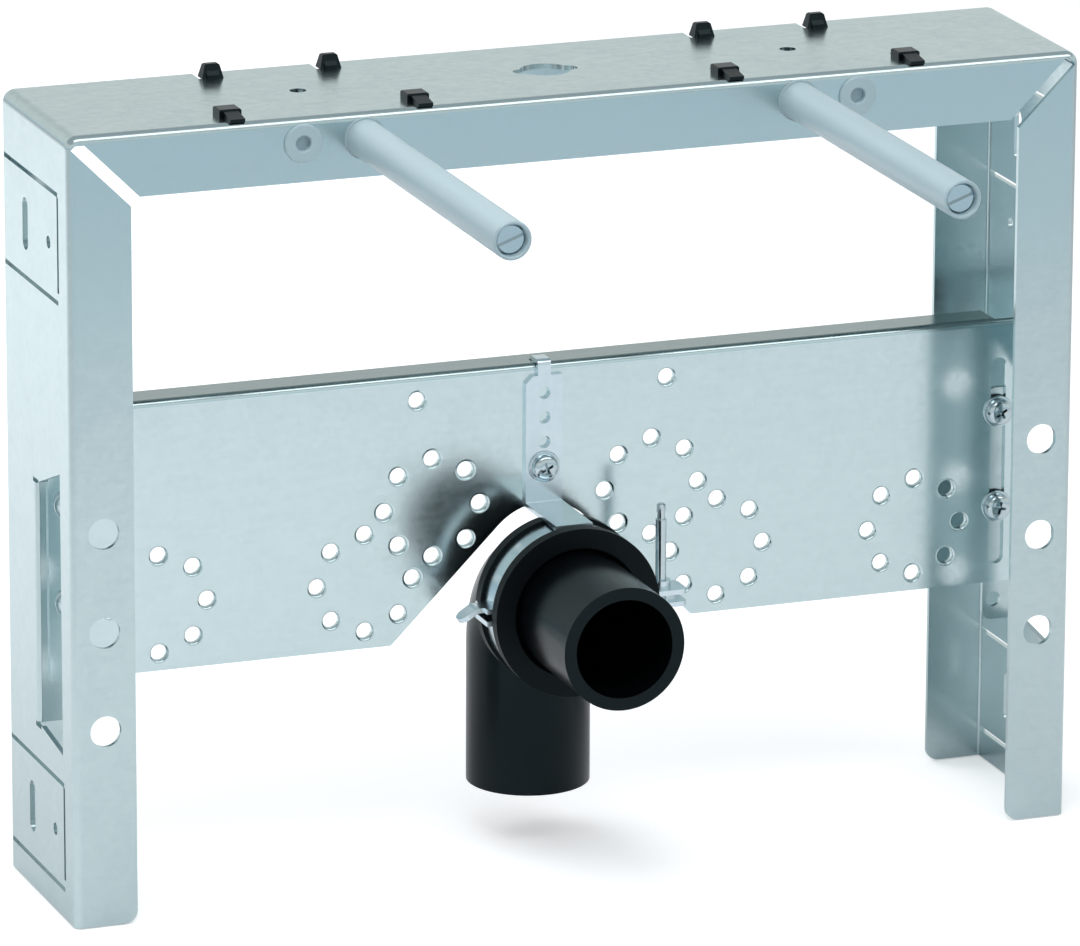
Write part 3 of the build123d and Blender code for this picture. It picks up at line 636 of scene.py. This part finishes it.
def threaded_rod(name, radius, pitch, length):
    """A rod along Z from zero up to its length, with its crests at a radius."""
    deselect()
    corner = pitch / math.sqrt(3)
    bpy.ops.mesh.primitive_circle_add(
        vertices=3,
        radius=corner,
        location=(radius - corner, 0, -TURNS_BELOW * pitch),
        rotation=(0, math.radians(90), math.radians(-90)),
    )
    rod = bpy.context.object
    rod.name = name
    bpy.ops.object.transform_apply()
    bpy.ops.object.mode_set(mode="EDIT")
    pick("edges", lambda edge: all(v.co.x < radius - corner for v in edge.verts))
    bpy.ops.mesh.delete(type="EDGE")
    bpy.ops.mesh.select_all(action="SELECT")
    bpy.ops.transform.resize(value=(THREAD_DEPTH, 1, 1), center_override=(radius, 0, 0))
    bpy.ops.object.mode_set(mode="OBJECT")
    bpy.ops.object.modifier_add(type="SCREW")
    winding = rod.modifiers[-1]
    winding.screw_offset = pitch
    winding.iterations = math.ceil(length / pitch) + SPARE_TURNS
    winding.steps = STEPS_PER_TURN
    winding.render_steps = STEPS_PER_TURN
    bpy.ops.object.modifier_apply(modifier=winding.name)
    bpy.ops.object.mode_set(mode="EDIT")
    bpy.ops.mesh.select_all(action="SELECT")
    bpy.ops.mesh.remove_doubles(threshold=pitch * MERGED_SHARE)
    for height, side in ((0.0, "clear_inner"), (length, "clear_outer")):
        bpy.ops.mesh.select_all(action="SELECT")
        bpy.ops.mesh.bisect(plane_co=(0, 0, height), plane_no=(0, 0, 1), use_fill=True, **{side: True})
    bpy.ops.mesh.select_all(action="SELECT")
    bpy.ops.mesh.normals_make_consistent(inside=False)
    bpy.ops.object.mode_set(mode="OBJECT")
    bpy.ops.object.shade_smooth_by_angle(angle=THREAD_EDGE_ANGLE)
    return rod


# %% M6 shank
SHANK_RADIUS = 0.003
SHANK_PITCH = 0.001
SHANK_LENGTH = 0.012

shank = threaded_rod("shank", SHANK_RADIUS, SHANK_PITCH, SHANK_LENGTH)
print("M6 shank:", len(shank.data.polygons), "faces,", open_edges(shank), "open edges")

# %% [markdown]
# Pan-head screws. Each screw that holds the cross plate or the hanger strip has a round head on a thin
# flange, with a cross recess for the screwdriver. The head starts as a flat disc. Its top face is inset
# to leave the flange, and is then drawn up and narrowed in a few steps, which gives the dome. A punch in
# the shape of a cross, tapered to its tip, is taken out of it with a Boolean, where the cold-forming punch
# presses it into the real screw.

# %% Cross punch
# A face looks up or down when the Z part of its normal is beyond this.
STEEP = 0.5
# The punch reaches this far above the face that it cuts, and narrows to this share at its tip.
PUNCH_ABOVE = 0.001
PUNCH_TAPER = 0.5
PUNCH_MERGED = 1e-7


def cross_punch(span, width, depth):
    """A tapered cross that reaches a depth below zero, and far enough above it to cut cleanly."""
    deselect()
    bpy.ops.mesh.primitive_cube_add(
        size=1, location=(0, 0, (PUNCH_ABOVE - depth) / 2), scale=(width, width, depth + PUNCH_ABOVE)
    )
    punch = bpy.context.object
    punch.name = "punch"
    bpy.ops.object.transform_apply()
    bpy.ops.object.mode_set(mode="EDIT")
    pick("faces", lambda face: abs(face.normal.z) < STEEP)
    bpy.ops.mesh.extrude_faces_move(TRANSFORM_OT_shrink_fatten={"value": (span - width) / 2})
    pick("faces", lambda face: face.normal.z < -STEEP)
    bpy.ops.transform.resize(value=(PUNCH_TAPER, PUNCH_TAPER, 1), center_override=(0, 0, 0))
    bpy.ops.mesh.select_all(action="SELECT")
    bpy.ops.mesh.remove_doubles(threshold=PUNCH_MERGED)
    bpy.ops.mesh.normals_make_consistent(inside=False)
    bpy.ops.object.mode_set(mode="OBJECT")
    return punch


def cut_with(piece, tool, operation):
    """Applies a Boolean with another mesh and deletes that mesh."""
    select_only(piece)
    bpy.ops.object.modifier_add(type="BOOLEAN")
    cut = piece.modifiers[-1]
    cut.operation = operation
    cut.object = tool
    bpy.ops.object.modifier_apply(modifier=cut.name)
    select_only(tool)
    bpy.ops.object.delete()


# %% Pan head
FLANGE_RADIUS = 0.0065
FLANGE_THICKNESS = 0.0009
FLANGE_CORNERS = 48
RIM_SHARE = 0.99
RIM_ROUNDING = 0.0003
HEAD_INSET = 0.0009
# How far the dome rises in each step, and what share of its width is left.
HEAD_STEPS = ((0.0010, 0.97), (0.0009, 0.93), (0.0007, 0.87), (0.0004, 0.78), (0.0002, 0.62))
SHANK_OVERLAP = 0.00005
HEAD_EDGE_ANGLE = math.radians(32)


def on_upper_rim(edge):
    """True for an edge of the flange's upper outer rim."""
    rim = FLANGE_RADIUS * RIM_SHARE
    return all(v.co.z > FLANGE_THICKNESS / 2 and v.co.xy.length > rim for v in edge.verts)


deselect()
bpy.ops.mesh.primitive_cylinder_add(
    vertices=FLANGE_CORNERS,
    radius=FLANGE_RADIUS,
    depth=FLANGE_THICKNESS,
    location=(0, 0, FLANGE_THICKNESS / 2),
)
pan_screw = bpy.context.object
pan_screw.name = "pan_screw"
bpy.ops.object.transform_apply()
bpy.ops.object.mode_set(mode="EDIT")
pick("faces", lambda face: face.normal.z > STEEP)
bpy.ops.mesh.inset(thickness=HEAD_INSET)
for rise, spread in HEAD_STEPS:
    bpy.ops.mesh.extrude_region_move(TRANSFORM_OT_translate={"value": (0, 0, rise)})
    bpy.ops.transform.resize(value=(spread, spread, 1), center_override=(0, 0, 0))
pick("edges", on_upper_rim)
bpy.ops.mesh.bevel(offset=RIM_ROUNDING, segments=3)
bpy.ops.object.mode_set(mode="OBJECT")
head_height = max(v.co.z for v in pan_screw.data.vertices)
punch = cross_punch(span=0.0062, width=0.0013, depth=0.0024)
punch.location.z = head_height
cut_with(pan_screw, punch, "DIFFERENCE")
shank.location.z = SHANK_OVERLAP - SHANK_LENGTH
select_only(pan_screw, shank)
bpy.ops.object.join()
bpy.ops.object.shade_smooth_by_angle(angle=HEAD_EDGE_ANGLE)
print("pan screw:", len(pan_screw.data.polygons), "faces, head", round(1000 * head_height, 2), "mm high")

# %% [markdown]
# The screws in their places. A copy of the finished screw takes the place of each CAD screw, with its
# head to the front and its tip where the CAD screw ends. Each one is turned to another angle, as screws
# are left by hand. The move goes into the mesh, so that each object stays at the origin and its finish
# doesn't slide.

# %% Helpers for finished pieces


def own_copy(source, name):
    """A copy with its own mesh, in the place of its source, selected and active."""
    piece = source.copy()
    piece.data = source.data.copy()
    piece.name = name
    piece.parent = None
    piece.matrix_world = source.matrix_world
    bpy.context.collection.objects.link(piece)
    select_only(piece)
    return piece


def settle(piece, move):
    """Moves a piece by a matrix and puts the move into its mesh."""
    piece.matrix_world = move
    select_only(piece)
    bpy.ops.object.transform_apply()


def take_over(piece, node_name):
    """Plates a piece with zinc and lets it stand for a CAD node."""
    piece.data.materials.clear()
    piece.data.materials.append(bright_zinc)
    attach(piece, "root")
    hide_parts(node_name)


# %% Screws in their places
SCREW_TURNS = {
    "plate_screw_upper_left": 12,
    "plate_screw_lower_left": 57,
    "plate_screw_upper_right": 31,
    "plate_screw_lower_right": 78,
    "hanger_screw": 24,
}
for node_name, turn in SCREW_TURNS.items():
    low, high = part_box(node_name)
    seat = Vector(((low[0] + high[0]) / 2, high[1] - SHANK_LENGTH, (low[2] + high[2]) / 2))
    facing_front = Matrix.Rotation(math.radians(90), 4, "X")
    turned = Matrix.Rotation(math.radians(turn), 4, "Z")
    piece = own_copy(pan_screw, f"pan_{node_name}")
    settle(piece, Matrix.Translation(seat) @ facing_front @ turned)
    take_over(piece, node_name)
select_only(pan_screw)
bpy.ops.object.delete()
print(len(SCREW_TURNS), "pan-head screws placed")

# %% [markdown]
# The M12 studs. A stud is cut from threaded rod, chamfered, and slotted so that it can be turned with a
# screwdriver. The CAD stud already has the length, the chamfer and the slot, so a copy of it is the
# blank, and the Boolean keeps what the blank and a long threaded rod share. The rod is a little thicker
# than the blank, which leaves the flat crests that a rolled thread has.

# %% Studs
STUD_PITCH = 0.00175
CREST_SURPLUS = 0.00008
END_SURPLUS = 0.001
CAD_MERGED = 1e-6


def merged_copy(node_name, name):
    """A copy of a CAD node, with its loose triangles merged into one skin."""
    piece = own_copy(nodes[node_name], name)
    bpy.ops.object.mode_set(mode="EDIT")
    bpy.ops.mesh.select_all(action="SELECT")
    bpy.ops.mesh.remove_doubles(threshold=CAD_MERGED)
    bpy.ops.object.mode_set(mode="OBJECT")
    return piece


for node_name in ("stud_left", "stud_right"):
    low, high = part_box(node_name)
    radius = (high[0] - low[0]) / 2
    length = high[1] - low[1] + 2 * END_SURPLUS
    rod = threaded_rod(f"threaded_{node_name}", radius + CREST_SURPLUS, STUD_PITCH, length)
    front_end = Vector(((low[0] + high[0]) / 2, low[1] - END_SURPLUS, (low[2] + high[2]) / 2))
    settle(rod, Matrix.Translation(front_end) @ Matrix.Rotation(math.radians(-90), 4, "X"))
    cut_with(rod, merged_copy(node_name, "blank"), "INTERSECT")
    take_over(rod, node_name)
    print(rod.name, len(rod.data.polygons), "faces,", open_edges(rod), "open edges")

# %% [markdown]
# The clamp screw. It is pushed in from below, so only its shank, neck and pilot tip show from the front,
# and its head shows from underneath. The CAD screw has all of that but the recess, so a copy of it is cut
# with a smaller cross punch, turned upside down.

# %% Clamp screw
low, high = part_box("clamp_screw")
clamp_bolt = merged_copy("clamp_screw", "recessed_clamp_screw")
punch = cross_punch(span=0.0046, width=0.001, depth=0.0018)
head_centre = Vector(((low[0] + high[0]) / 2, (low[1] + high[1]) / 2, low[2]))
punch.matrix_world = Matrix.Translation(head_centre) @ Matrix.Rotation(math.pi, 4, "X")
cut_with(clamp_bolt, punch, "DIFFERENCE")
take_over(clamp_bolt, "clamp_screw")
print(clamp_bolt.name, len(clamp_bolt.data.polygons), "faces,", open_edges(clamp_bolt), "open edges")

# %% [markdown]
# The end. The box of all that shows, leaving out the floor, is found.

# %% Finish
low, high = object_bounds()
